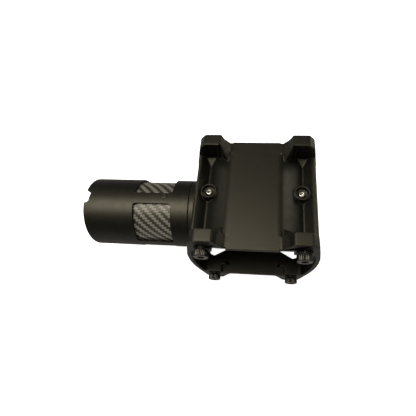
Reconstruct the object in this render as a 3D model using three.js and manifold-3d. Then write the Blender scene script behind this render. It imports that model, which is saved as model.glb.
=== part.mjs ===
// Handlebar stem: a sleeved carbon tube joined to a hollow box head with eight corner lugs.
// Millimetres. +X from the tube to the head, +Y along the head's open passage, +Z out of its ribbed face.
// The shapes are drawn about the crossing point of the tube's axis and the passage's axis. The part's
// own origin is under the middle of its bounding box, on the surface that the lower lugs stand on.
import * as THREE from "three";
import { ConvexGeometry } from "three/addons/geometries/ConvexGeometry.js";
import { mergeVertices } from "three/addons/utils/BufferGeometryUtils.js";
import Module from "manifold-3d";

const CROSSING = { x: 27.4, y: 1.69, z: 34.4 }; // the crossing point, seen from the part's origin

// Head, outside
const LUG_END = 27.2; // half length of the head over its lugs
const LUG_INNER = 21.3; // where each lug's inner wall stands
const BAND_END = 28.0; // the upper face's middle band runs a little past the lugs
const PAD_Z = 33.0; // upper lug pads
const FOOT_Z = -34.4; // lower lug pads, which the head stands on
const BAND_Z = 26.6; // middle band of the upper face
const BACK_Z = -24.3; // flat lower face between the lugs
const BAND_HALF = 12.4; // half width of the middle band
const VALLEY_X = 23.3; // line of the V-shaped valley between two upper lugs
const VALLEY_Z = 18.0;
const SHOULDER_X = 28.6;
const SHOULDER_Z = 23.3;
const SIDE_X = 32.2; // the side walls bulge to this half width
const SIDE_BULGE = 0.0054; // and fall away by this much per square millimetre of height
const WALL = 2.0;
const LIP = { half: 12.0, round: 0.6, slope: 0.6 }; // the band's overhang at each end
const RAMP = { inner: 14.5, outer: 28.3, under: 15.6 }; // fills each end of a valley
const RAMP_FOOT = { y: 18.9, z: 17.9 };
const RAMP_TOP = { y: 23.3, z: 20.2 }; // foot of the lug's wall
const UNDERCUT = { inner: 19.0, lead: 1 };
const GUSSET_Y = 17.1; // where a lug's inner corner runs out on the band
const GUSSET_BACK = 21.8; // the gusset's far end is buried in the lug
const CAVITY_STEPS = [20.0, 23.0]; // the cavity narrows from its waist section to its lug section here
const CAVITY_LAP = 0.2;
const LUG_FLOOR = 19.2; // the lugs are solid beyond this height
const POCKET = { y: 22.9, x: 18.4, top: 24.4 }; // the mouth is wider here, beside the bolts
const WINDOW_BACK = { inner: 15.2, outer: 26.4, start: 6, innerEnd: 12.0, outerEnd: 15.6 };
const WINDOW_SLANT = { x: 23.6, y: 16.8 };

// Lug bolts: M4 socket cap screws with split lock washers, in threaded inserts
const BOLT_X = 22.4;
const BOLT_Z = 23.3;
const LUG_HOLE_R = 3.0;
const FAR_HOLE_START = 24.0; // the far lugs are drilled blind
const INSERT = { outer: 2.85, inner: 2.25, length: 2.8, sunk: 0.15 };
const CAP = { headR: 3.5, headLength: 3.35, chamfer: 0.35, shankR: 1.95, shankLength: 6, tipChamfer: 0.5 };
const CAP_HEX = { across: 3, depth: 2.0 };
const WASHER = { inner: 2.2, outer: 3.6, thickness: 0.7, split: 0.5 };
const SEAT_GAP = 0.06;

// Tie posts that keep the two faces apart, and their screws
const POST = { x: 22.3, y: 2.6, outer: 3.0, bore: 1.75, top: 15.0, bottom: -22.0 };
const BOSS = { radius: 3.8, baseR: 4.3, baseTop: 20.6, top: 22.6, bottom: 15.4 };
const RECESS = { radius: 3.1, floor: 20.2 };
const POST_SCREW = { radius: 1.5, length: 9, chamfer: 0.25, tipChamfer: 0.4, upperTop: 21.3, lowerEnd: -24.1 };
const POST_HEX = { across: 1.5, depth: 1.4 };

// Tube side
const TUBE_END_X = -87.0;
const COLLAR = { face: -32.7, seat: -27.9, outer: 18.4, bore: 15.7 };
const SLEEVE = { outer: 18.3, inner: 17.3 };
const TUBE = { outer: 17.0, inner: 15.6 };
const JOINT_GAP = 0.3;
const WINDOW = { start: -61.2, end: -41.7, halfAngle: 35.5, corner: 1.6, count: 4, firstAngle: 45 };
const NOTCH_R = 3.6;
const NOTCH_SETBACK = 0.4; // the notch's centre lies this far outside the tube's end
const SPIGOT = { radius: 15.3, bore: 12.5, start: -62, chamfer: 0.8, flangeR: 16.8, flangeEnd: -26.9 };
const LINER = { radius: 15.3, bore: 12.5, end: -79, chamfer: 0.5 };
const RIVET = { x: -45.5, y: 1.1, shankR: 1.2, headR: 1.7, headHeight: 0.45, depth: 2.6, clearance: 0.2 };

const ROUND = 56; // segments of the large round parts
const SMALL_ROUND = 20;
const THROUGH = 80; // longer than any wall that it cuts
const LEAST_SETBACK = 0.12; // a corner that would round by less than this stays sharp

const wasm = await Module();
wasm.setup();

// A closed three.js geometry as a manifold solid, from its positions alone.
function solid(geometry) {
  const bare = new THREE.BufferGeometry().setAttribute("position", geometry.getAttribute("position"));
  bare.setIndex(geometry.index);
  const merged = mergeVertices(bare, 1e-4);
  const corners = merged.index.array;
  const kept = [];
  for (let i = 0; i < corners.length; i += 3) {
    const [a, b, c] = corners.slice(i, i + 3);
    if (a !== b && b !== c && c !== a) kept.push(a, b, c);
  }
  const vertProperties = merged.attributes.position.array;
  return new wasm.Manifold(new wasm.Mesh({ numProp: 3, vertProperties, triVerts: new Uint32Array(kept) }));
}

function geometryOf(made) {
  const mesh = made.getMesh();
  const geometry = new THREE.BufferGeometry()
    .setAttribute("position", new THREE.BufferAttribute(new Float32Array(mesh.vertProperties), 3))
    .setIndex(new THREE.BufferAttribute(new Uint32Array(mesh.triVerts), 1));
  geometry.computeVertexNormals();
  return geometry;
}

// A shape through corners [u, v, radius]; a radius rounds its corner, with a step every 15 degrees or so.
function roundedShape(corners) {
  const points = corners.flatMap(([u, v, radius = 0], i) => {
    const here = new THREE.Vector2(u, v);
    const before = new THREE.Vector2(...corners.at(i - 1).slice(0, 2)).sub(here);
    const after = new THREE.Vector2(...corners[(i + 1) % corners.length].slice(0, 2)).sub(here);
    const turn = Math.PI - Math.abs(before.angleTo(after));
    const setback = Math.min(radius * Math.tan(turn / 2), before.length() * 0.45, after.length() * 0.45);
    if (setback < LEAST_SETBACK) return [here];
    const start = here.clone().addScaledVector(before.normalize(), setback);
    const end = here.clone().addScaledVector(after.normalize(), setback);
    const steps = Math.max(1, Math.round(turn / THREE.MathUtils.degToRad(15)));
    return new THREE.QuadraticBezierCurve(start, here, end).getPoints(steps);
  });
  return new THREE.Shape(points);
}

// The right half of an outline, top centre to bottom centre, mirrored to the whole.
function mirrored(half) {
  const left = half.slice(1, -1).reverse().map(([x, z, radius]) => [-x, z, radius]);
  return [...half, ...left].reverse();
}

function extrude(corners, length) {
  return new THREE.ExtrudeGeometry(roundedShape(corners), { depth: length, bevelEnabled: false });
}

// An (x, z) outline as a prism from y0 to y1.
function prismAlongY(corners, y0, y1) {
  return solid(extrude(corners, y1 - y0).rotateX(Math.PI / 2).translate(0, y1, 0));
}

// An (x, y) outline as a prism from z0 to z1.
function prismAlongZ(corners, z0, z1) {
  return solid(extrude(corners, z1 - z0).translate(0, 0, z0));
}

// A (radius, height) profile turned round the Y axis.
function turned(profile, segments) {
  const points = profile.map(([radius, height]) => new THREE.Vector2(radius, height));
  if (THREE.ShapeUtils.area(points) < 0) points.reverse();
  if (points[0].x > 0) points.push(points[0].clone());
  return new THREE.LatheGeometry(points, segments);
}

const turnedAlongY = (profile, x, z, segments) => solid(turned(profile, segments).translate(x, 0, z));

const turnedAlongX = (profile, segments) => solid(turned(profile, segments).rotateZ(-Math.PI / 2));

const turnedAlongZ = (profile, x, y, segments) =>
  solid(turned(profile, segments).rotateX(Math.PI / 2).translate(x, y, 0));

// Profiles: a solid rod, and a tube whose section closes on itself.
const rod = (radius, from, to) => [[0, from], [radius, from], [radius, to], [0, to]];
const pipe = (outer, inner, from, to) => [[inner, from], [outer, from], [outer, to], [inner, to]];

function flip(made, axis) {
  const normal = [0, 0, 0];
  normal[axis] = 1;
  return made.mirror(normal);
}

// A piece and its copy mirrored across a plane through the origin.
const both = (made, axis) => made.add(flip(made, axis));

// Cross-sections of the head, right halves from top centre to bottom centre.
const bulgedSide = (halfWidth) =>
  [13, 6.5, 0, -6.5, -13].map((z) => [halfWidth - SIDE_BULGE * z * z, z]);

const waistSection = mirrored([
  [0, BAND_Z],
  [BAND_HALF, BAND_Z, 6],
  [VALLEY_X, VALLEY_Z, 1.0],
  [SHOULDER_X, SHOULDER_Z, 1.6],
  ...bulgedSide(SIDE_X),
  [30.4, -19.0],
  [29.2, BACK_Z, 3.2],
  [0, BACK_Z],
]);

const lugSection = mirrored([
  [0, BAND_Z],
  [BAND_HALF, BAND_Z, 1.5],
  [15.4, 29.6, 2],
  [17.0, PAD_Z, 0.9],
  [24.6, PAD_Z, 1.6],
  [27.2, 30.4, 2],
  [28.8, 24.6, 4],
  ...bulgedSide(SIDE_X),
  [29.2, -25.4, 4],
  [27.9, -31.6, 2],
  [25.2, FOOT_Z, 1.6],
  [18.4, FOOT_Z, 1.2],
  [15.2, -27.6, 2],
  [13.2, BACK_Z, 1],
  [0, BACK_Z],
]);

const waistCavity = mirrored([
  [0, BAND_Z - WALL],
  [12.0, BAND_Z - WALL, 3],
  [VALLEY_X, VALLEY_Z - 2.6, 1],
  [27.2, 19.0, 1],
  ...bulgedSide(SIDE_X - WALL),
  [27.6, BACK_Z + WALL, 2.5],
  [0, BACK_Z + WALL],
]);

const lugCavity = mirrored([
  [0, BAND_Z - WALL],
  [12.2, BAND_Z - WALL, 2],
  [14.4, LUG_FLOOR, 1.5],
  [27.9, LUG_FLOOR, 2.5],
  ...bulgedSide(SIDE_X - WALL),
  [27.9, -LUG_FLOOR, 2.5],
  [15.8, -LUG_FLOOR, 1.5],
  [14.6, BACK_Z + WALL, 1],
  [0, BACK_Z + WALL],
]);

// A wedge that lets the lug's wall lean back over the end of the valley.
function wallUndercut() {
  const wedge = new ConvexGeometry(
    [UNDERCUT.inner, SIDE_X].flatMap((x) => [
      new THREE.Vector3(x, LUG_INNER - UNDERCUT.lead, PAD_Z - UNDERCUT.lead),
      new THREE.Vector3(x, LUG_INNER, PAD_Z - UNDERCUT.lead),
      new THREE.Vector3(x, RAMP_TOP.y, RAMP_TOP.z),
      new THREE.Vector3(x, LUG_INNER - UNDERCUT.lead, VALLEY_Z),
    ]),
  );
  return both(solid(wedge), 0);
}

function lugs() {
  const block = prismAlongY(lugSection, LUG_INNER, LUG_END).subtract(wallUndercut());
  const ramp = new ConvexGeometry(
    [RAMP.inner, RAMP.outer].flatMap((x) => [
      new THREE.Vector3(x, RAMP_FOOT.y, RAMP_FOOT.z),
      new THREE.Vector3(x, RAMP_FOOT.y, RAMP.under),
      new THREE.Vector3(x, RAMP_TOP.y, RAMP_TOP.z),
      new THREE.Vector3(x, RAMP_TOP.y, RAMP.under),
    ]),
  );
  // The lug's inner corner leans out into a gusset that runs down to the band's edge.
  const gusset = new ConvexGeometry([
    new THREE.Vector3(17.2, GUSSET_BACK, 32.8),
    new THREE.Vector3(17.6, GUSSET_BACK, 22.0),
    new THREE.Vector3(15.6, GUSSET_BACK, 29.8),
    new THREE.Vector3(12.9, GUSSET_BACK, BAND_Z),
    new THREE.Vector3(14.2, GUSSET_BACK, 23.0),
    new THREE.Vector3(13.4, GUSSET_Y, 25.3),
    new THREE.Vector3(14.2, GUSSET_Y + 0.6, 23.6),
  ]);
  const inner = both(solid(ramp).add(solid(gusset)), 0);
  return both(block.add(inner), 1);
}

// Windows in the lower face, between the lugs, with their outer corners cut on a slant.
function backWindows() {
  const { inner, outer, start, innerEnd, outerEnd } = WINDOW_BACK;
  const window = prismAlongZ(
    [
      [outer, -start, 1],
      [outer, -outerEnd, 1.5],
      [WINDOW_SLANT.x, -WINDOW_SLANT.y, 1.5],
      [inner, -innerEnd, 1],
      [inner, -start, 1],
    ],
    BACK_Z - 1,
    BACK_Z + WALL + 3,
  );
  return both(both(window, 0), 1);
}

function headShell() {
  const lip = prismAlongY(
    mirrored([
      [0, BAND_Z],
      [LIP.half, BAND_Z, LIP.round],
      [LIP.half - LIP.slope, BAND_Z - WALL],
      [0, BAND_Z - WALL],
    ]),
    LUG_END - WALL,
    BAND_END,
  );
  const bossProfile = [
    [0, BOSS.bottom],
    [BOSS.baseR, BOSS.bottom],
    [BOSS.radius, BOSS.baseTop],
    [BOSS.radius, BOSS.top],
    [0, BOSS.top],
  ];
  const boss = turnedAlongZ(bossProfile, POST.x, POST.y, SMALL_ROUND);
  const collar = turnedAlongX(pipe(COLLAR.outer, COLLAR.bore, COLLAR.face, COLLAR.seat), ROUND);
  const body = prismAlongY(waistSection, -LUG_END, LUG_END).add(lugs()).add(both(lip, 1));

  const pocket = prismAlongY(
    mirrored([[0, POCKET.top], [POCKET.x, POCKET.top, 1], [POCKET.x, BACK_Z + WALL, 1], [0, BACK_Z + WALL]]),
    POCKET.y,
    THROUGH,
  );
  const [stepStart, stepEnd] = CAVITY_STEPS;
  const between = prismAlongY(waistCavity, stepStart, stepEnd + CAVITY_LAP)
    .intersect(prismAlongY(lugCavity, stepStart, stepEnd + CAVITY_LAP));
  const mouth = prismAlongY(lugCavity, stepEnd, THROUGH).add(pocket).add(between);
  const hollow = both(mouth, 1)
    .add(prismAlongY(waistCavity, -stepStart - CAVITY_LAP, stepStart + CAVITY_LAP));
  const nearHole = turnedAlongY(rod(LUG_HOLE_R, -THROUGH, -LUG_INNER), BOLT_X, BOLT_Z, SMALL_ROUND);
  const farHole = turnedAlongY(rod(LUG_HOLE_R, FAR_HOLE_START, THROUGH), BOLT_X, BOLT_Z, SMALL_ROUND);
  const lugHoles = both(both(nearHole.add(farHole), 0), 2);
  const recess = turnedAlongZ(rod(RECESS.radius, RECESS.floor, THROUGH), POST.x, POST.y, SMALL_ROUND);
  const screwWay = turnedAlongZ(rod(POST.bore, -THROUGH, THROUGH), POST.x, POST.y, SMALL_ROUND);
  const tubeWay = turnedAlongX(rod(COLLAR.bore, -THROUGH, COLLAR.seat + 1), ROUND);

  return body
    .subtract(hollow)
    .add(collar)
    .add(both(boss, 0))
    .subtract(both(recess.add(screwWay), 0))
    .subtract(lugHoles)
    .subtract(backWindows())
    .subtract(tubeWay);
}

// Radial windows, a notch in the outer end and a rivet hole, cut through the sleeve.
function sleeveWindows() {
  const halfWidth = SLEEVE.outer * Math.sin(THREE.MathUtils.degToRad(WINDOW.halfAngle));
  const { start, end, corner, count, firstAngle } = WINDOW;
  const outline = [
    [start, -halfWidth, corner],
    [end, -halfWidth, corner],
    [end, halfWidth, corner],
    [start, halfWidth, corner],
  ];
  const cutter = prismAlongZ(outline, TUBE.inner * 0.7, SLEEVE.outer + 5);
  const turns = Array.from({ length: count }, (_, i) => firstAngle + (360 / count) * i);
  return turns.map((angle) => cutter.rotate([angle, 0, 0])).reduce((all, cut) => all.add(cut));
}

const endNotch = () => turnedAlongZ(rod(NOTCH_R, 0, THROUGH), TUBE_END_X - NOTCH_SETBACK, 0, SMALL_ROUND);
const rivetHole = () =>
  turnedAlongZ(rod(RIVET.shankR + RIVET.clearance, 0, THROUGH), RIVET.x, RIVET.y, SMALL_ROUND);

function tubeSleeve() {
  return turnedAlongX(pipe(SLEEVE.outer, SLEEVE.inner, TUBE_END_X, COLLAR.face - JOINT_GAP), ROUND)
    .subtract(sleeveWindows())
    .subtract(endNotch())
    .subtract(rivetHole());
}

function carbonTube() {
  return turnedAlongX(pipe(TUBE.outer, TUBE.inner, TUBE_END_X, COLLAR.face - JOINT_GAP), ROUND)
    .subtract(endNotch())
    .subtract(rivetHole());
}

// The spigot is bonded inside the carbon tube; its flange bears on the inside of the head's wall.
function tubeSpigot() {
  const { radius, bore, start, chamfer, flangeR, flangeEnd } = SPIGOT;
  const flangeStart = COLLAR.seat + SEAT_GAP;
  const profile = [
    [bore, start],
    [radius - chamfer, start],
    [radius, start + chamfer],
    [radius, flangeStart],
    [flangeR, flangeStart],
    [flangeR, flangeEnd],
    [bore, flangeEnd],
  ];
  return turnedAlongX(profile, ROUND);
}

// A ring bonded inside the carbon tube's open end, seen through the notch.
function tubeLiner() {
  const { radius, bore, end, chamfer } = LINER;
  const profile = [
    [bore, TUBE_END_X],
    [radius, TUBE_END_X],
    [radius, end - chamfer],
    [radius - chamfer, end],
    [bore, end],
  ];
  return turnedAlongX(profile, ROUND);
}

// The hexagon socket of a fastener that lies along Y with its -Y end at `end`.
function hexSocket({ across, depth }, end) {
  const corner = across / Math.sqrt(3);
  const overshoot = 1;
  const socket = new THREE.CylinderGeometry(corner, corner, depth + overshoot, 6);
  return solid(socket.translate(0, end + (depth - overshoot) / 2, 0));
}

const headSeatY = -(LUG_END + SEAT_GAP + WASHER.thickness + SEAT_GAP);

function capScrew() {
  const { headR, headLength, chamfer, shankR, shankLength, tipChamfer } = CAP;
  const outerEnd = headSeatY - headLength;
  const tip = headSeatY + shankLength;
  const profile = [
    [0, outerEnd],
    [headR - chamfer, outerEnd],
    [headR, outerEnd + chamfer],
    [headR, headSeatY],
    [shankR, headSeatY],
    [shankR, tip - tipChamfer],
    [shankR - tipChamfer, tip],
    [0, tip],
  ];
  return turnedAlongY(profile, 0, 0, SMALL_ROUND).subtract(hexSocket(CAP_HEX, outerEnd));
}

function lockWasher() {
  const near = -LUG_END - SEAT_GAP;
  const { inner, outer, thickness, split } = WASHER;
  const ring = turnedAlongY(pipe(outer, inner, near - thickness, near), 0, 0, SMALL_ROUND);
  const slot = new THREE.BoxGeometry(split, thickness * 4, outer).translate(0, 0, outer).rotateY(0.5);
  return ring.subtract(solid(slot.translate(0, near, 0)));
}

function threadInsert(end) {
  const { outer, inner, length, sunk } = INSERT;
  const mouth = LUG_END - sunk;
  const made = turnedAlongY(pipe(outer, inner, mouth - length, mouth), 0, 0, SMALL_ROUND);
  return end === "near" ? flip(made, 1) : made;
}

function tiePost() {
  return turnedAlongZ(pipe(POST.outer, POST.bore, POST.bottom, POST.top), 0, 0, SMALL_ROUND);
}

function postScrew(level) {
  const { radius, length, chamfer, tipChamfer, upperTop, lowerEnd } = POST_SCREW;
  const profile = [
    [0, 0],
    [radius - chamfer, 0],
    [radius, chamfer],
    [radius, length - tipChamfer],
    [radius - tipChamfer, length],
    [0, length],
  ];
  const lying = turnedAlongY(profile, 0, 0, SMALL_ROUND).subtract(hexSocket(POST_HEX, 0));
  const upright = lying.rotate([90, 0, 0]);
  return level === "lower" ? upright.translate(0, 0, lowerEnd) : flip(upright, 2).translate(0, 0, upperTop);
}

// A domed blind rivet that pins the sleeve to the tube.
function sleeveRivet() {
  const { shankR, headR, headHeight, depth } = RIVET;
  const seat = SLEEVE.outer + SEAT_GAP;
  const profile = [
    [0, SLEEVE.outer - depth],
    [shankR, SLEEVE.outer - depth],
    [shankR, seat],
    [headR, seat],
    [headR * 0.82, seat + headHeight * 0.7],
    [headR * 0.45, seat + headHeight],
    [0, seat + headHeight],
  ];
  return turnedAlongZ(profile, 0, 0, SMALL_ROUND);
}

const finish = (color, roughness, metalness) =>
  new THREE.MeshStandardMaterial({ color, roughness, metalness, flatShading: true });

const satinBlack = finish(0x1d1b18, 0.45, 0.3);
const anodisedBlack = finish(0x201e1b, 0.38, 0.5);
const carbonWeave = finish(0x34332f, 0.35, 0.1);
const blackOxide = finish(0x191816, 0.35, 0.8);
const brightSteel = finish(0xb9b6b0, 0.25, 1.0);
const bareAluminium = finish(0x8d8b86, 0.4, 0.9);

const group = new THREE.Group();

function place(name, made, material, x = 0, y = 0, z = 0) {
  const mesh = new THREE.Mesh(geometryOf(made), material);
  mesh.name = name;
  mesh.position.set(x + CROSSING.x, y + CROSSING.y, z + CROSSING.z);
  group.add(mesh);
}

place("head_shell", headShell(), satinBlack);
place("tube_sleeve", tubeSleeve(), anodisedBlack);
place("carbon_tube", carbonTube(), carbonWeave);
place("tube_spigot", tubeSpigot(), bareAluminium);
place("tube_liner", tubeLiner(), anodisedBlack);
place("sleeve_rivet", sleeveRivet(), anodisedBlack, RIVET.x, RIVET.y, 0);

for (const [side, xSign] of [["left", -1], ["right", 1]]) {
  place(`tie_post_${side}`, tiePost(), bareAluminium, xSign * POST.x, POST.y, 0);
  for (const [level, zSign] of [["upper", 1], ["lower", -1]]) {
    const corner = `${level}_${side}`;
    const bolt = [xSign * BOLT_X, 0, zSign * BOLT_Z];
    place(`post_screw_${corner}`, postScrew(level), brightSteel, xSign * POST.x, POST.y, 0);
    place(`cap_screw_${corner}`, capScrew(), blackOxide, ...bolt);
    place(`lock_washer_${corner}`, lockWasher(), blackOxide, ...bolt);
    place(`thread_insert_near_${corner}`, threadInsert("near"), brightSteel, ...bolt);
    place(`thread_insert_far_${corner}`, threadInsert("far"), brightSteel, ...bolt);
  }
}

export default group;
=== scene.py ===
"""The handlebar stem's looks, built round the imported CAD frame.

Blender works in metres, in the part's own frame. Shapes are drawn in millimetres about the point
where the tube's axis crosses the axis of the head's passage, and MM turns them into metres.
"""

import math

import bmesh
import bpy
from mathutils import Euler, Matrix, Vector


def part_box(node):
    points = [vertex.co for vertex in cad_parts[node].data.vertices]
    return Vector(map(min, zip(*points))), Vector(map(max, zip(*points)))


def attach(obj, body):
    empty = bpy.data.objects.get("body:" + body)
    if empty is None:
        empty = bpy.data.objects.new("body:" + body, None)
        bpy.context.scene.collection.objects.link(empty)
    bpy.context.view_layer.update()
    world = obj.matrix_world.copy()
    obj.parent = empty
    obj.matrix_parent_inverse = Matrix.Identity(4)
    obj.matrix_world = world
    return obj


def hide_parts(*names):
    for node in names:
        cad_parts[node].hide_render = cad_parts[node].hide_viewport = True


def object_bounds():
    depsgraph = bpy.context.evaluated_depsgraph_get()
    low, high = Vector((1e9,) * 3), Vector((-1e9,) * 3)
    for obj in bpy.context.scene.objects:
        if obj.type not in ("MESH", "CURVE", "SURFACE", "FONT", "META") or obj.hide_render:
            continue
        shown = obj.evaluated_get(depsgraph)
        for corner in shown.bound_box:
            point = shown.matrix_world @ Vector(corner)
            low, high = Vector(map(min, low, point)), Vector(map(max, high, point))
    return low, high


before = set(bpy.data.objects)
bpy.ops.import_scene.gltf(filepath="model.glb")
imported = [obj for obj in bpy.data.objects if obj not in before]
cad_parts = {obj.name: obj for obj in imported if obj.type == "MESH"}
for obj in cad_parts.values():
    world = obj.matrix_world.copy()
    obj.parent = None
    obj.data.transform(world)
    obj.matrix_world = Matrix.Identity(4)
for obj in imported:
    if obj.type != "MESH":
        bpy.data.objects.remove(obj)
cad_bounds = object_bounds()

MM = 0.001
SHARP_DEGREES = 24  # edges of the CAD shapes sharper than this are rounded over
CAP_HEAD_LENGTH = 3.35
KNURL_TEETH = 24
M4_PITCH = 0.7
SET_SCREW_PITCH = 0.5
POINT = 0.0001  # a radius small enough to close a turned end
CORNERS = ["upper_left", "upper_right", "lower_left", "lower_right"]


def box_middle(node):
    low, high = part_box(node)
    return (low + high) / 2


# Where the two axes cross: half way between the posts, at the tube's own height.
posts = (box_middle("tie_post_left") + box_middle("tie_post_right")) / 2
tube = box_middle("carbon_tube")
CROSSING = Vector((posts.x, tube.y, tube.z))
FLOOR = cad_bounds[0][2]


# ---------------------------------------------------------------- shader helpers


class Nodes:
    """A material's node tree, with short calls for the nodes that it needs."""

    def __init__(self, name):
        self.material = bpy.data.materials.new(name)
        self.material.use_nodes = True
        self.tree = self.material.node_tree
        self.shader = self.tree.nodes["Principled BSDF"]
        coordinates = self.tree.nodes.new("ShaderNodeTexCoord")
        self.position = coordinates.outputs["Object"]

    def link(self, source, target):
        self.tree.links.new(source, target)

    def put(self, value, socket):
        if isinstance(value, bpy.types.NodeSocket):
            self.link(value, socket)
        else:
            socket.default_value = value

    def math(self, operation, a, b=None, c=None, clamp=False):
        node = self.tree.nodes.new("ShaderNodeMath")
        node.operation = operation
        node.use_clamp = clamp
        for value, socket in zip((a, b, c), node.inputs):
            if value is not None:
                self.put(value, socket)
        return node.outputs[0]

    def axes(self):
        """The position's x, y and z in millimetres."""
        node = self.tree.nodes.new("ShaderNodeSeparateXYZ")
        self.link(self.position, node.inputs[0])
        return [self.math("DIVIDE", out, MM) for out in node.outputs]

    def noise(self, size_mm, detail=3.0, roughness=0.55, stretch=(1, 1, 1)):
        """Noise from 0 to 1 whose features are about size_mm across."""
        mapping = self.tree.nodes.new("ShaderNodeMapping")
        self.link(self.position, mapping.inputs["Vector"])
        mapping.inputs["Scale"].default_value = [1 / (MM * size_mm * s) for s in stretch]
        node = self.tree.nodes.new("ShaderNodeTexNoise")
        node.inputs["Scale"].default_value = 1.0
        node.inputs["Detail"].default_value = detail
        node.inputs["Roughness"].default_value = roughness
        self.link(mapping.outputs[0], node.inputs["Vector"])
        return node.outputs["Fac"]

    def ramp(self, value, *stops):
        """A colour ramp through (position, colour) stops."""
        node = self.tree.nodes.new("ShaderNodeValToRGB")
        elements = node.color_ramp.elements
        while len(elements) < len(stops):
            elements.new(0.5)
        for element, (place, colour) in zip(elements, stops):
            element.position = place
            element.color = (*colour, 1) if len(colour) == 3 else colour
        self.link(value, node.inputs[0])
        return node.outputs["Color"]

    def spread(self, value, low, high, from_low=0.3, from_high=0.7):
        """value mapped from its usual span to low and high."""
        node = self.tree.nodes.new("ShaderNodeMapRange")
        self.put(value, node.inputs["Value"])
        node.inputs["From Min"].default_value = from_low
        node.inputs["From Max"].default_value = from_high
        node.inputs["To Min"].default_value = low
        node.inputs["To Max"].default_value = high
        return node.outputs["Result"]

    def mix(self, factor, a, b):
        node = self.tree.nodes.new("ShaderNodeMix")
        node.data_type = "RGBA"
        self.put(factor, node.inputs["Factor"])
        for value, socket in ((a, node.inputs[6]), (b, node.inputs[7])):
            self.put(value if isinstance(value, bpy.types.NodeSocket) else (*value, 1), socket)
        return node.outputs[2]

    def bump(self, height, distance_mm, strength=1.0, after=None):
        node = self.tree.nodes.new("ShaderNodeBump")
        node.inputs["Strength"].default_value = strength
        node.inputs["Distance"].default_value = distance_mm * MM
        self.put(height, node.inputs["Height"])
        if after is not None:
            self.link(after, node.inputs["Normal"])
        return node.outputs["Normal"]

    def rounded(self, radius_mm):
        """Normals that round each edge and each inner corner over."""
        node = self.tree.nodes.new("ShaderNodeBevel")
        node.samples = 6
        node.inputs["Radius"].default_value = radius_mm * MM
        return node.outputs["Normal"]

    def attribute(self, name):
        node = self.tree.nodes.new("ShaderNodeAttribute")
        node.attribute_name = name
        return node.outputs["Fac"]

    def finish(self, colour, roughness, normal=None, **constants):
        self.put(colour, self.shader.inputs["Base Color"])
        self.put(roughness, self.shader.inputs["Roughness"])
        if normal is not None:
            self.link(normal, self.shader.inputs["Normal"])
        for name, value in constants.items():
            self.shader.inputs[name.replace("_", " ")].default_value = value
        return self.material


WARM = (1.0, 0.93, 0.72, 1.0)  # the coatings' own reflection is a little olive
RUBBED_AND_LIT = 14.0  # how many times lighter a fully marked edge is than its coating: partly rubbing, partly a painted highlight along the edge


def satin_coating(name, dark, light, grain_mm, roughness, edge_mm):
    """A thin satin black coating: fine grain, faint clouds, and edges painted a little lighter,
    partly as rubbing and partly as a painted highlight.
    """
    n = Nodes(name)
    cloud = n.noise(9.0, 4)
    grain = n.noise(grain_mm, 2)
    base = n.ramp(cloud, (0.35, dark), (0.68, light))
    # Painted highlight and rubbing: the rounded-over edge faces are mixed toward a much lighter
    # colour.
    worn_and_lit = n.math("MULTIPLY", n.attribute("edge"), n.spread(n.noise(1.6, 4), 0.05, 0.55))
    colour = n.mix(worn_and_lit, base, [c * RUBBED_AND_LIT for c in light])
    streaks = n.spread(n.noise(3.5, 5), roughness - 0.035, roughness + 0.045)
    rough = n.math("ADD", streaks, n.spread(grain, -0.03, 0.03))
    normal = n.bump(grain, 0.016, 0.35, n.rounded(edge_mm))
    return n.finish(colour, rough, normal, Specular_Tint=WARM, Metallic=0.0, IOR=1.5)


def carbon_twill():
    """2 by 2 twill under clear lacquer: each tow of fibre passes over two and under two."""
    n = Nodes("carbon_twill")
    x, y, z = n.axes()
    radius, tow = 17.0, 1.2  # the tube's outside, and the width of one tow
    around = n.math("MULTIPLY", n.math("ARCTAN2", y, z), radius)
    u = n.math("DIVIDE", x, tow)
    v = n.math("DIVIDE", around, tow)
    column, row = n.math("FLOOR", u), n.math("FLOOR", v)
    over = n.math("LESS_THAN", n.math("FLOORED_MODULO", n.math("ADD", column, row), 4.0), 2.0)
    in_u = n.math("SUBTRACT", n.math("FRACT", u), 0.5)
    in_v = n.math("SUBTRACT", n.math("FRACT", v), 0.5)
    # Each tow is rounded across its width.
    crown_lengthwise = n.math("SUBTRACT", 1.0, n.math("POWER", n.math("MULTIPLY", in_v, 2.0), 2.0))
    crown_round = n.math("SUBTRACT", 1.0, n.math("POWER", n.math("MULTIPLY", in_u, 2.0), 2.0))
    height = n.math(
        "ADD",
        n.math("MULTIPLY", over, crown_lengthwise),
        n.math("MULTIPLY", n.math("SUBTRACT", 1.0, over), crown_round),
    )
    fibre = n.noise(0.22, 3)
    # Painted sheen: the tows that run along the tube are coloured far lighter than those running
    # round it, as their fibres catch the light.
    lengthwise_with_sheen = n.mix(n.spread(fibre, 0, 1), (0.13, 0.123, 0.102), (0.25, 0.238, 0.20))
    roundwise = n.mix(n.spread(fibre, 0, 1), (0.014, 0.013, 0.010), (0.034, 0.032, 0.026))
    weave = n.mix(over, roundwise, lengthwise_with_sheen)
    # Painted shade: each tow darkens toward its edges, where it dips beside its neighbours.
    shade = n.spread(height, 0.35, 1.0, 0.0, 0.8)
    colour = n.mix(shade, (0.012, 0.011, 0.009), weave)
    return n.finish(
        colour,
        n.spread(fibre, 0.34, 0.5),
        n.bump(height, 0.09, 0.6),
        Specular_Tint=WARM,
        Coat_Weight=0.25,
        Coat_Roughness=0.22,
    )


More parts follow.
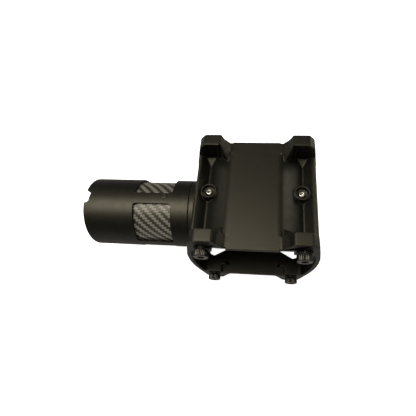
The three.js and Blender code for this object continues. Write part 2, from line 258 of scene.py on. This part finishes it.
def black_oxide():
    """Oiled black oxide on steel, patchy where it has been handled."""
    n = Nodes("black_oxide")
    patch = n.noise(1.1, 4)
    colour = n.ramp(patch, (0.3, (0.030, 0.028, 0.024)), (0.7, (0.075, 0.071, 0.062)))
    # Painted highlight and rubbing: the marked edge faces and end rings are mixed toward a light
    # grey.
    worn_and_lit = n.math("MULTIPLY", n.attribute("edge"), n.spread(n.noise(0.7, 3), 0.1, 0.7))
    colour = n.mix(worn_and_lit, colour, (0.42, 0.40, 0.36))
    normal = n.bump(n.noise(0.25, 2), 0.01, 0.4)
    return n.finish(colour, n.spread(patch, 0.22, 0.38), normal, Metallic=1.0)


def bare_metal(name, dark, light, roughness, stretch):
    """Machined metal with fine tool marks along one direction."""
    n = Nodes(name)
    marks = n.noise(0.5, 4, 0.6, stretch)
    colour = n.ramp(marks, (0.3, dark), (0.7, light))
    rough = n.spread(marks, roughness - 0.06, roughness + 0.1)
    return n.finish(colour, rough, n.bump(marks, 0.012, 0.5), Metallic=1.0)


def pale_floor():
    """Pale paper that is lit through, so that the object's shadow on it stays faint."""
    n = Nodes("pale_floor")
    colour = n.ramp(n.noise(120.0, 2), (0.3, (0.90, 0.90, 0.895)), (0.7, (0.93, 0.93, 0.925)))
    return n.finish(colour, 0.9, Emission_Color=(1, 0.995, 0.985, 1), Emission_Strength=0.95)


HEAD = satin_coating(
    "head_satin_black",
    dark=(0.0014, 0.0013, 0.0009),
    light=(0.0030, 0.0028, 0.0019),
    grain_mm=0.55,
    roughness=0.44,
    edge_mm=0.7,
)
SLEEVE = satin_coating(
    "sleeve_satin_black",
    dark=(0.0014, 0.0013, 0.0009),
    light=(0.0028, 0.0025, 0.0018),
    grain_mm=0.35,
    roughness=0.42,
    edge_mm=0.35,
)
CARBON = carbon_twill()
OXIDE = black_oxide()
STEEL = bare_metal("bright_steel", (0.42, 0.40, 0.36), (0.72, 0.70, 0.66), 0.26, (1, 1, 6))
ALUMINIUM = bare_metal("bare_aluminium", (0.34, 0.33, 0.31), (0.55, 0.54, 0.51), 0.36, (6, 1, 1))


# ---------------------------------------------------------------- mesh helpers


def smooth_by_angle(mesh, degrees=35):
    mesh.shade_smooth()
    mesh.set_sharp_from_angle(angle=math.radians(degrees))


def round_normals(mesh):
    """Exact normals on the walls that are turned about the X axis, whose faces are long and few."""
    normals = [corner.vector.copy() for corner in mesh.corner_normals]
    for face in mesh.polygons:
        outward = Vector((0, face.center.y, face.center.z)).normalized()
        facing = face.normal.dot(outward)
        if abs(facing) < 0.995:
            continue
        for loop in face.loop_indices:
            place = mesh.vertices[mesh.loops[loop].vertex_index].co
            radial = Vector((0, place.y, place.z)).normalized()
            normals[loop] = radial if facing > 0 else -radial
    mesh.normals_split_custom_set(normals)


def add_piece(name, bm, material, body, slot, *nodes, turned=False):
    """A mesh piece that rides on a body and stands for CAD nodes."""
    mesh = bpy.data.meshes.new(name)
    bm.to_mesh(mesh)
    bm.free()
    smooth_by_angle(mesh)
    if turned:
        round_normals(mesh)
    mesh.materials.append(material)
    piece = bpy.data.objects.new(name, mesh)
    piece.location = CROSSING
    bpy.context.scene.collection.objects.link(piece)
    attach(piece, body)
    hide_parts(*nodes)
    return piece


def dressed(node, bevel_mm, clamp=True):
    """The CAD node's shape with its flat faces joined up and its edges rounded over.

    With clamp, the smallest face on the node limits the bevel everywhere.
    """
    bm = bmesh.new()
    bm.from_mesh(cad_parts[node].data)
    bmesh.ops.translate(bm, verts=bm.verts, vec=-CROSSING)
    bmesh.ops.remove_doubles(bm, verts=bm.verts, dist=0.004 * MM)
    bmesh.ops.dissolve_limit(
        bm,
        angle_limit=math.radians(0.4),
        verts=bm.verts,
        edges=bm.edges,
        use_dissolve_boundaries=False,
    )
    edge = bm.faces.layers.float.new("edge")
    sharp = [
        e
        for e in bm.edges
        if len(e.link_faces) == 2 and e.calc_face_angle(0) > math.radians(SHARP_DEGREES)
    ]
    made = bmesh.ops.bevel(
        bm,
        geom=sharp,
        offset=bevel_mm * MM,
        segments=2,
        profile=0.5,
        affect="EDGES",
        clamp_overlap=clamp,
    )
    # Painted highlight and rubbing: every face that the bevel makes is marked for a lighter colour.
    for face in made["faces"]:
        face[edge] = 1.0
    return bm


def revolved(rings, count, centre, axis):
    """A closed solid from rings of (radius, height) about an axis through centre, in millimetres.

    A radius may be a function of the turn. A ring with a third mark ends a band that is painted
    lighter, partly as rubbing and partly as a painted highlight.
    """
    bm = bmesh.new()
    edge = bm.faces.layers.float.new("edge")
    along = Vector(axis).normalized()
    across = Vector((1, 0, 0)) if abs(along.x) < 0.5 else Vector((0, 1, 0))
    third = along.cross(across)
    centre = Vector(centre)

    def ring(radius, height):
        points = []
        for i in range(count):
            turn = 2 * math.pi * i / count
            r = radius(turn) if callable(radius) else radius
            spoke = across * math.cos(turn) + third * math.sin(turn)
            points.append(bm.verts.new((centre + along * height + spoke * r) * MM))
        return points

    made, worn_and_lit = [], []
    for radius, height, *mark in rings:
        made.append(ring(radius, height))
        worn_and_lit.append(bool(mark))
    pairs = list(zip(made, made[1:]))
    for (a, b), is_worn_and_lit in zip(pairs, worn_and_lit[1:]):
        for i in range(count):
            j = (i + 1) % count
            face = bm.faces.new((a[i], a[j], b[j], b[i]))
            face[edge] = 1.0 if is_worn_and_lit else 0.0
    if rings[0] == rings[-1]:  # a ring-shaped solid, whose section ends where it began
        bmesh.ops.remove_doubles(bm, verts=bm.verts, dist=1e-7)
    else:
        bm.faces.new(made[0][::-1])
        bm.faces.new(made[-1])
    bmesh.ops.recalc_face_normals(bm, faces=bm.faces)
    return bm


# ---------------------------------------------------------------- head and tube

head_shape = dressed("head_shell", 0.34, clamp=False)
head = add_piece("head_casting", head_shape, HEAD, "head", "head_black", "head_shell")
flat_first = head.modifiers.new("flat_first", "WEIGHTED_NORMAL")
flat_first.keep_sharp = True
flat_first.weight = 100
turned_pieces = [
    ("sleeve_shell", "tube_sleeve", 0.22, SLEEVE, "sleeve_black"),
    ("carbon_core", "carbon_tube", 0.1, CARBON, "carbon_weave"),
    ("spigot_ring", "tube_spigot", 0.15, ALUMINIUM, "bare_aluminium"),
    ("liner_ring", "tube_liner", 0.15, SLEEVE, "sleeve_black"),
]
for name, node, bevel_mm, material, slot in turned_pieces:
    add_piece(name, dressed(node, bevel_mm), material, "head", slot, node, turned=True)
for side in ("left", "right"):
    node = f"tie_post_{side}"
    add_piece(f"post_tube_{side}", dressed(node, 0.15), ALUMINIUM, "head", "bare_aluminium", node)


# ---------------------------------------------------------------- screws, washers, inserts


def hexagon(across):
    """The radius of a hexagon of that width across its flats, at a turn."""
    return lambda turn: across / 2 / math.cos((turn % (math.pi / 3)) - math.pi / 6)


def knurled(radius, depth, teeth):
    """Straight knurling: rounded teeth with sharp valleys."""
    return lambda turn: radius - depth * (1 - abs(math.sin(turn * teeth / 2)))


def middle(node):
    """The middle, low corner and high corner of a node's box, in millimetres from the crossing."""
    low, high = [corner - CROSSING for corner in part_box(node)]
    return (low + high) / 2 / MM, low / MM, high / MM


def thread(crest, root, start, stop, pitch, land):
    """The rings of a turned thread from start down to stop, with a land beside each crest."""
    rings = []
    height = start
    while height > stop:
        rings += [
            (crest, height - land),
            (root, height - pitch / 2),
            (crest, height - pitch + land),
        ]
        height -= pitch
    return rings


def cap_screw(corner):
    """A knurled socket cap screw with its thread. Heights run out of the passage, toward -Y."""
    node = f"cap_screw_{corner}"
    centre, low, high = middle(node)
    end, seat, tip = -low.y, -low.y - CAP_HEAD_LENGTH, -high.y
    hexa = hexagon(3.0)
    grip = knurled(3.5, 0.24, KNURL_TEETH)
    shank = 1.95
    # Painted highlight and rubbing: the bands that end at the marked rings, the whole end face
    # round the socket and the edges of the head's seat, are coloured lighter.
    rings = [
        (POINT, end - 2.3),
        (0.6, end - 2.25),
        (hexa, end - 2.0),
        (hexa, end - 0.18),
        (1.84, end, "worn_and_lit"),
        (2.9, end, "worn_and_lit"),
        (3.12, end - 0.05, "worn_and_lit"),
        (3.26, end - 0.2, "worn_and_lit"),
        (grip, end - 0.42),
        (grip, seat + 0.5),
        (3.3, seat + 0.36),
        (3.46, seat + 0.26, "worn_and_lit"),
        (3.46, seat + 0.1),
        (3.34, seat, "worn_and_lit"),
        (shank, seat),
    ]
    rings += thread(shank, shank - 0.22, seat, tip + 1.05, M4_PITCH, 0.12)
    rings += [(shank, tip + 0.35), (shank - 0.35, tip), (POINT, tip)]
    bm = revolved(rings, KNURL_TEETH * 5, (centre.x, 0, centre.z), (0, -1, 0))
    add_piece(f"socket_screw_{corner}", bm, OXIDE, f"screw_{corner}", "black_oxide", node)


def lock_washer(corner):
    """A split washer: a ring with eased edges and a narrow gap."""
    node = f"lock_washer_{corner}"
    centre, low, high = middle(node)
    bm = bmesh.new()
    edge = bm.faces.layers.float.new("edge")
    inner, outer, ease = 2.2, 3.6, 0.12
    near, far = low.y, high.y
    section = [
        (inner + ease, near),
        (outer - ease, near),
        (outer, near + ease),
        (outer, far - ease),
        (outer - ease, far),
        (inner + ease, far),
        (inner, far - ease),
        (inner, near + ease),
    ]
    steps, half_gap, split_at = 72, 0.075, 1.9  # the split's half width and place, in radians
    rows = []
    for i in range(steps + 1):
        turn = split_at + half_gap + (2 * math.pi - 2 * half_gap) * i / steps
        c, s = math.cos(turn), math.sin(turn)
        points = [Vector((centre.x + c * r, y, centre.z + s * r)) * MM for r, y in section]
        rows.append([bm.verts.new(point) for point in points])
    # Painted highlight and rubbing: the faces of the two outer chamfers are marked for a lighter
    # colour.
    for a, b in zip(rows, rows[1:]):
        for k in range(len(section)):
            m = (k + 1) % len(section)
            face = bm.faces.new((a[k], a[m], b[m], b[k]))
            face[edge] = 1.0 if k in (1, 3) else 0.0
    bm.faces.new(rows[0][::-1])
    bm.faces.new(rows[-1])
    bmesh.ops.recalc_face_normals(bm, faces=bm.faces)
    add_piece(f"split_washer_{corner}", bm, OXIDE, f"washer_{corner}", "black_oxide", node)


def insert(end, corner):
    """A threaded insert, flush with a lug's end."""
    node = f"thread_insert_{end}_{corner}"
    centre, low, high = middle(node)
    outward = -1 if end == "near" else 1
    back, mouth = sorted((abs(low.y), abs(high.y)))
    wide, crest, root = 2.85, 2.2, 2.42
    # Painted highlight and rubbing: the marked rings colour the insert's end ring and its chamfer
    # lighter.
    rings = [
        (root, mouth),
        (wide - 0.12, mouth, "worn_and_lit"),
        (wide, mouth - 0.12, "worn_and_lit"),
        (wide, back),
        (root, back),
    ]
    height = back
    while height < mouth - M4_PITCH:
        rings += [
            (root, height + 0.08),
            (crest, height + M4_PITCH / 2),
            (root, height + M4_PITCH - 0.08),
        ]
        height += M4_PITCH
    rings += [(root, mouth)]
    bm = revolved(rings, 40, (centre.x, 0, centre.z), (0, outward, 0))
    add_piece(f"insert_{end}_{corner}", bm, OXIDE, "head", "black_oxide", node)


def rivet():
    """A flat-headed blind rivet with the small crater that its mandrel leaves."""
    centre, low, high = middle("sleeve_rivet")
    top = high.z
    # Painted highlight and rubbing: the marked ring colours the head's rim lighter.
    rings = [
        (POINT, top - 0.42),
        (0.5, top - 0.4),
        (0.62, top - 0.1),
        (0.75, top),
        (1.1, top - 0.03),
        (1.5, top - 0.16),
        (1.68, top - 0.32, "worn_and_lit"),
        (1.7, top - 0.45),
        (1.2, top - 0.45),
        (1.2, low.z),
        (POINT, low.z),
    ]
    bm = revolved(rings, 40, (centre.x, centre.y, 0), (0, 0, 1))
    add_piece("rivet_head", bm, SLEEVE, "head", "sleeve_black", "sleeve_rivet")


def set_screw(corner):
    """A bright headless screw in a post's end. Heights run away from the tube's axis."""
    node = f"post_screw_{corner}"
    centre, low, high = middle(node)
    outward = 1 if corner.startswith("upper") else -1
    tip, end = sorted((abs(low.z), abs(high.z)))
    hexa = hexagon(1.5)
    # Painted highlight and rubbing: the marked rings colour the socket's chamfer and the end face's
    # outer chamfer lighter.
    rings = [
        (POINT, end - 1.4),
        (hexa, end - 1.35),
        (hexa, end - 0.08),
        (0.9, end, "worn_and_lit"),
        (1.22, end),
        (1.38, end - 0.1, "worn_and_lit"),
        (1.5, end - 0.3),
    ]
    rings += thread(1.5, 1.34, end - 0.3, tip + 0.9, SET_SCREW_PITCH, 0.08)
    rings += [(1.5, tip + 0.3), (1.15, tip), (POINT, tip)]
    bm = revolved(rings, 48, (centre.x, centre.y, 0), (0, 0, outward))
    add_piece(f"set_screw_{corner}", bm, STEEL, "head", "bright_steel", node)


rivet()
for corner in CORNERS:
    cap_screw(corner)
    lock_washer(corner)
    set_screw(corner)
    for end in ("near", "far"):
        insert(end, corner)


# ---------------------------------------------------------------- stage, light, camera


def floor_plane(half_size, height):
    bm = bmesh.new()
    bmesh.ops.create_grid(bm, x_segments=4, y_segments=4, size=half_size)
    mesh = bpy.data.meshes.new("floor")
    bm.to_mesh(mesh)
    bm.free()
    mesh.materials.append(pale_floor())
    plane = bpy.data.objects.new("floor", mesh)
    plane.location.z = height
    plane.visible_glossy = False  # the coatings mirror the dim room, not the bright floor
    bpy.context.scene.collection.objects.link(plane)


def soft_box(name, place, aim, size, power):
    """A warm lamp with a soft face, placed and aimed from the crossing, in metres and watts."""
    data = bpy.data.lights.new(name, "AREA")
    data.shape = "RECTANGLE"
    data.size, data.size_y = size
    data.energy = power
    data.color = (1.0, 0.96, 0.88)
    lamp = bpy.data.objects.new(name, data)
    lamp.location = Vector(place) + CROSSING
    lamp.rotation_euler = (Vector(aim) - Vector(place)).to_track_quat("-Z", "Y").to_euler()
    bpy.context.scene.collection.objects.link(lamp)


def studio_world():
    """A room whose reflection is dim and warm, darkest at the horizon."""
    world = bpy.data.worlds.new("studio")
    world.use_nodes = True
    tree = world.node_tree
    background = tree.nodes["Background"]
    coordinates = tree.nodes.new("ShaderNodeTexCoord")
    split = tree.nodes.new("ShaderNodeSeparateXYZ")
    ramp = tree.nodes.new("ShaderNodeValToRGB")
    height = tree.nodes.new("ShaderNodeMapRange")
    height.inputs["From Min"].default_value = -1.0
    tree.links.new(coordinates.outputs["Generated"], split.inputs[0])
    tree.links.new(split.outputs["Z"], height.inputs["Value"])
    tree.links.new(height.outputs["Result"], ramp.inputs[0])
    # The room itself is pale where it is seen directly, like the floor.
    rays = tree.nodes.new("ShaderNodeLightPath")
    seen = tree.nodes.new("ShaderNodeMix")
    seen.data_type = "RGBA"
    seen.inputs[7].default_value = (1.0, 1.0, 1.0, 1)
    tree.links.new(rays.outputs["Is Camera Ray"], seen.inputs["Factor"])
    tree.links.new(ramp.outputs["Color"], seen.inputs[6])
    tree.links.new(seen.outputs[2], background.inputs["Color"])
    stops = [(0.0, 0.30), (0.35, 0.30), (0.5, 0.07), (0.62, 0.05), (1.0, 0.26)]
    elements = ramp.color_ramp.elements
    while len(elements) < len(stops):
        elements.new(0.5)
    for element, (place, level) in zip(elements, stops):
        element.position = place
        element.color = (level, level * 0.96, level * 0.88, 1)
    bpy.context.scene.world = world


floor_plane(2.0, FLOOR)
soft_box("top_light", (-0.19, -0.02, 0.56), (-0.02, 0.0, 0.0), (0.32, 0.54), 3.2)
soft_box("right_light", (0.50, 0.28, 0.09), (0.02, 0.0, 0.02), (0.30, 0.40), 0.55)
soft_box("left_light", (-0.53, 0.28, 0.04), (-0.02, 0.0, 0.02), (0.20, 0.30), 0.16)
studio_world()

view = bpy.data.cameras.new("camera")
view.lens = 23.786
view.sensor_width = 36
# The object stands a little left of the picture's middle and a little below it.
view.shift_x = -0.0598
view.shift_y = 0.0587
view.clip_start = 0.005
camera = bpy.data.objects.new("camera", view)
camera.location = Vector((0.001635, -0.063164, 0.137878)) + CROSSING
camera.rotation_euler = Euler((0.371831, 0.067104, 0.066811))
bpy.context.scene.collection.objects.link(camera)
bpy.context.scene.camera = camera

bpy.context.scene.view_settings.view_transform = "Standard"
